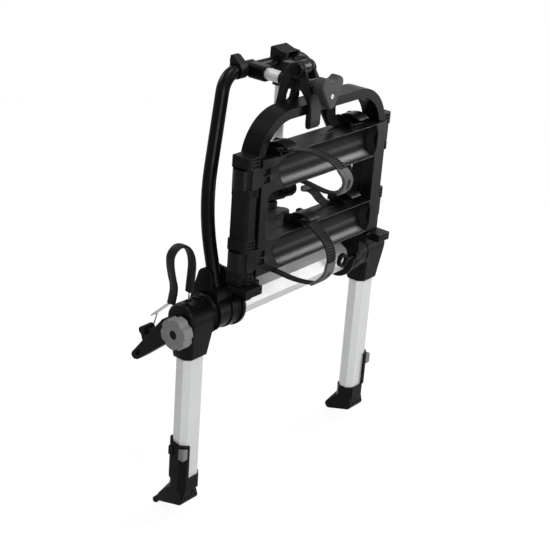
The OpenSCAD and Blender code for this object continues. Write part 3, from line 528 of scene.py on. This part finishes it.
def makeMoulding(node, finish, values):
    piece = mergedCopy(node, mergeValues)
    roundEdges(piece, edgeOf.get(node, values["round"]), mergeValues)
    dress(piece, finish)
    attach(piece, bodyOf[node])
    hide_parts(node)


for finish, values in edgeValues.items():
    for node in nodeFinish[finish]:
        makeMoulding(node, finish, values)
    print("rounded the edges of the", finish, "pieces")


def curveThrough(points, step, spans=24):
    # evenly spaced places on a smooth line through the points
    ends = [2 * points[0] - points[1], *points, 2 * points[-1] - points[-2]]
    fine = []
    for i in range(1, len(ends) - 2):
        a, b, c, d = ends[i - 1:i + 3]
        for k in range(spans):
            t = k / spans
            bend = (2 * a - 5 * b + 4 * c - d) * t * t + (3 * b - a - 3 * c + d) * t**3
            fine.append(0.5 * (2 * b + (c - a) * t + bend))
    fine.append(points[-1].copy())
    total = sum((q - p).length for p, q in zip(fine, fine[1:]))
    count = max(2, round(total / step))
    spaced, gone, due = [fine[0]], 0.0, total / count
    for p, q in zip(fine, fine[1:]):
        run = (q - p).length
        while gone + run >= due - 1e-9 and len(spaced) < count:
            spaced.append(p.lerp(q, (due - gone) / run))
            due += total / count
        gone += run
    spaced.append(fine[-1])
    return spaced, total


def heading(line, i):
    # which way the line runs at its place i
    return line[min(i + 1, len(line) - 1)] - line[max(i - 1, 0)]


def tubeMesh(name, rings):
    # closes a row of equal rings into one skin
    count, sides = len(rings), len(rings[0])
    faces = [list(range(sides - 1, -1, -1)), [(count - 1) * sides + j for j in range(sides)]]
    for i in range(count - 1):
        for j in range(sides):
            k = (j + 1) % sides
            faces.append([i * sides + j, i * sides + k, (i + 1) * sides + k, (i + 1) * sides + j])
    mesh = bpy.data.meshes.new(name)
    mesh.from_pydata([tuple(p) for ring in rings for p in ring], [], faces)
    piece = bpy.data.objects.new(name, mesh)
    bpy.context.scene.collection.objects.link(piece)
    return piece


def closeUp(piece, angle):
    # outward faces, and smooth shading on edges flatter than the angle
    deselectAll()
    piece.select_set(True)
    bpy.context.view_layer.objects.active = piece
    bpy.ops.object.mode_set(mode="EDIT")
    bpy.ops.mesh.select_all(action="SELECT")
    bpy.ops.mesh.normals_make_consistent(inside=False)
    bpy.ops.object.mode_set(mode="OBJECT")
    bpy.ops.object.shade_smooth_by_angle(angle=math.radians(angle))


sleeveValues = {
    "route": [
        (-256, 12, 42), (-254, 13, 56), (-251, 14, 74), (-249, 15, 92), (-250, 17, 108), (-255, 19, 121),
        (-264, 21, 130), (-276, 23, 133), (-286, 25, 128), (-292, 27, 116), (-290, 29, 100), (-285, 31, 84),
        (-279, 33, 68), (-273, 35, 54), (-269, 38, 40), (-268, 41, 26), (-268, 44, 12),
    ],
    "width": 20.0,
    "thick": 6.0,
    "length": 0.241,
    "step": 3.0,  # every second ring is a rib
    "rib": 0.05,  # a rib stands this share over the rest
    "fill": 0.98,  # share of its width that it fills
    "square": 0.55,  # below 1 the ring's sides turn flat
    "sides": 16,
    "smooth": 60,
}


def makeSleeve(name, node, side, values):
    line, total = curveThrough([at(side * x, y, z) for x, y, z in values["route"]], values["step"] / 1000)
    wide, thin = values["width"] / 2000, values["thick"] / 2000
    rings = []
    for i, place in enumerate(line):
        run = heading(line, i)
        across = Vector((-run.z, 0, run.x)).normalized()  # the sleeve bends in the XZ plane
        high = thin * (1.0 + values["rib"] * (i % 2))
        ring = []
        for k in range(values["sides"]):
            angle = 2 * math.pi * k / values["sides"]
            flat = math.copysign(abs(math.cos(angle)) ** values["square"], math.cos(angle))
            spread = Vector((0, flat * wide * values["fill"], 0))
            ring.append(place + spread + across * (math.sin(angle) * high))
        rings.append(ring)
    sleeve = tubeMesh(name, rings)
    closeUp(sleeve, values["smooth"])
    dress(sleeve, "strapRubber")
    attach(sleeve, bodyOf[node])
    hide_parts(node)
    print(name, "is", round(total, 3), "m long")


makeSleeve("cableSleeveLeft", "sheath_left", 1, sleeveValues)
makeSleeve("cableSleeveRight", "sheath_right", -1, sleeveValues)


strapValues = {
    "band": {"width": 24.0, "thick": 3.0, "rail": 1.4, "pitch": 5.6, "valley": 0.25, "finish": "strapRubber"},
    "tail": {"width": 14.4, "thick": 3.0, "rail": 2.0, "pitch": 6.0, "valley": 0.7, "finish": "strapRubber"},
    "clip": {
        "width": 24.0, "thick": 6.0, "rail": 7.6, "pitch": 6.0, "valley": 0.2, "finish": "endRubber",
        "slot": (0.36, 0.72),  # share of its length, in place of teeth
    },
    "lip": 0.25,  # a tooth stands this far over the rails beside it
    "toothRings": 4,  # rings in a pitch, of which half are the tooth
    "smooth": 50,
}

strapRoutes = {
    "front_straps": {
        "upperStrap": ("band", [
            (-123, -60, 301.5), (-123, -79, 304.5), (-109, -104, 308), (-96, -128, 306), (-85, -150, 297),
            (-77, -166, 284),
        ]),
        "upperStrapBack": ("tail", [
            (-59, -154.2, 230.1), (-59, -128, 225), (-59, -104, 226), (-59, -80, 228.8), (-59, -58, 229.2),
        ]),
        "lowerStrap": ("band", [
            (-39, -60, 147.5), (-39, -78, 148), (-54, -112, 144), (-64, -138, 136), (-73, -156, 123),
            (-83, -166, 109),
        ]),
        "lowerStrapBack": ("tail", [
            (-111.2, -153.1, 72.3), (-117, -128, 70), (-121, -104, 71), (-125, -80, 74.6), (-127, -58, 75.2),
        ]),
    },
    "front_strap_ends": {
        "upperStrapEnd": ("clip", [
            (-76.6, -166.4, 283), (-68, -174, 265), (-63, -169, 247), (-59, -155, 231),
        ]),
        "lowerStrapEnd": ("clip", [
            (-83.3, -166.2, 108.1), (-95, -170, 93), (-105, -164, 81), (-111, -154, 73),
        ]),
    },
    "rear_straps": {
        "rearUpperStrap": ("band", [
            (80, -34, 296.8), (80, -24, 303), (78, -20, 315), (76, -20, 331), (72, -22, 347),
        ]),
        "rearLowerStrap": ("band", [
            (70, -34, 142.8), (62, -24, 151), (50, -20, 165), (34, -20, 175), (16, -22, 181),
        ]),
    },
    "rear_strap_ends": {
        "rearUpperStrapEnd": ("clip", [(72, -22, 347.3), (72, -22, 353)]),
        "rearLowerStrapEnd": ("clip", [(16, -22, 181.6), (16, -22, 190)]),
    },
}


def isSunk(i, count, values):
    # true in the gap between two teeth, or in a clip's slot
    if "slot" in values:
        first, last = values["slot"]
        return first < i / (count - 1) < last
    rings = strapValues["toothRings"]
    return i % rings >= rings / 2


def makeStrap(name, node, kind, route):
    # a moulded strap, flat below, with rails at its sides and teeth or one slot between them
    values = strapValues[kind]
    step = values["pitch"] / (1000 * strapValues["toothRings"])
    line, total = curveThrough([at(*place) for place in route], step)
    width, rail, thick = (values[key] / 1000 for key in ("width", "rail", "thick"))
    half, inner = width / 2, width / 2 - rail
    rings = []
    for i, place in enumerate(line):
        run = heading(line, i)
        out = Vector((0, run.z, -run.y)).normalized()
        sunk = isSunk(i, len(line), values)
        tooth = thick * values["valley"] if sunk else thick + strapValues["lip"] / 1000
        profile = [
            (-half, 0), (-half, thick), (-inner, thick), (-inner, tooth),
            (inner, tooth), (inner, thick), (half, thick), (half, 0),
        ]
        rings.append([place + Vector((x, 0, 0)) + out * (h - thick / 2) for x, h in profile])
    strap = tubeMesh(name, rings)
    closeUp(strap, strapValues["smooth"])
    dress(strap, values["finish"])
    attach(strap, bodyOf[node])
    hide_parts(node)
    print(name, "is", round(total, 3), "m long")


for node, routes in strapRoutes.items():
    for name, (kind, route) in routes.items():
        makeStrap(name, node, kind, route)


lockValues = {
    "radius": 4.6,
    "deep": 5.0,
    "reach": 29.3,  # from the wing's joint to the lock's face
    "drop": 6.0,  # from the wing's axis, away from the jaw's hinge
    "rim": 0.9,
    "sink": 0.5,
    "keyway": (0.2, 0.8),  # how much of the inner face it keeps across and along
    "keyDeep": 1.5,
    "sides": 48,
    "smooth": 30,
}


def makeLock(number, values):
    # the bare lock cylinder in a wing knob, with its keyway
    wing, jaw = joints[f"wing_{number}_turn"], joints[f"jaw_{number}_front_open"]
    hub, axis = Vector(wing["pos_m"]), Vector(wing["axis"])
    lean = hub - Vector(jaw["pos_m"])
    down = (lean - lean.dot(axis) * axis).normalized()
    face = hub + (axis * values["reach"] + down * values["drop"]) / 1000
    inward = -axis / 1000
    deselectAll()
    bpy.ops.mesh.primitive_cylinder_add(
        vertices=values["sides"], radius=values["radius"] / 1000, depth=values["deep"] / 1000,
        location=face + inward * values["deep"] / 2, rotation=axis.to_track_quat("Z", "Y").to_euler(),
    )
    lock = bpy.context.object
    lock.name = f"wingLock{number}"
    bpy.ops.object.transform_apply(location=True, rotation=True, scale=True)
    bpy.ops.object.mode_set(mode="EDIT")
    bpy.ops.mesh.select_all(action="DESELECT")
    bpy.ops.object.mode_set(mode="OBJECT")
    for polygon in lock.data.polygons:
        polygon.select = polygon.normal.dot(axis) > 0.9  # the outer end alone
    bpy.ops.object.mode_set(mode="EDIT")
    bpy.ops.mesh.inset(thickness=values["rim"] / 1000)
    bpy.ops.transform.translate(value=inward * values["sink"])
    bpy.ops.mesh.inset(thickness=values["rim"] / 1000)
    narrow, long = values["keyway"]
    bpy.ops.transform.resize(value=(narrow, long, long), center_override=face + inward * values["sink"])
    bpy.ops.mesh.extrude_region_move(TRANSFORM_OT_translate={"value": inward * values["keyDeep"]})
    bpy.ops.object.mode_set(mode="OBJECT")
    closeUp(lock, values["smooth"])
    dress(lock, "zincSteel")
    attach(lock, wing["child"])


for number in (1, 2):
    makeLock(number, lockValues)
print("locks are in the wing knobs")
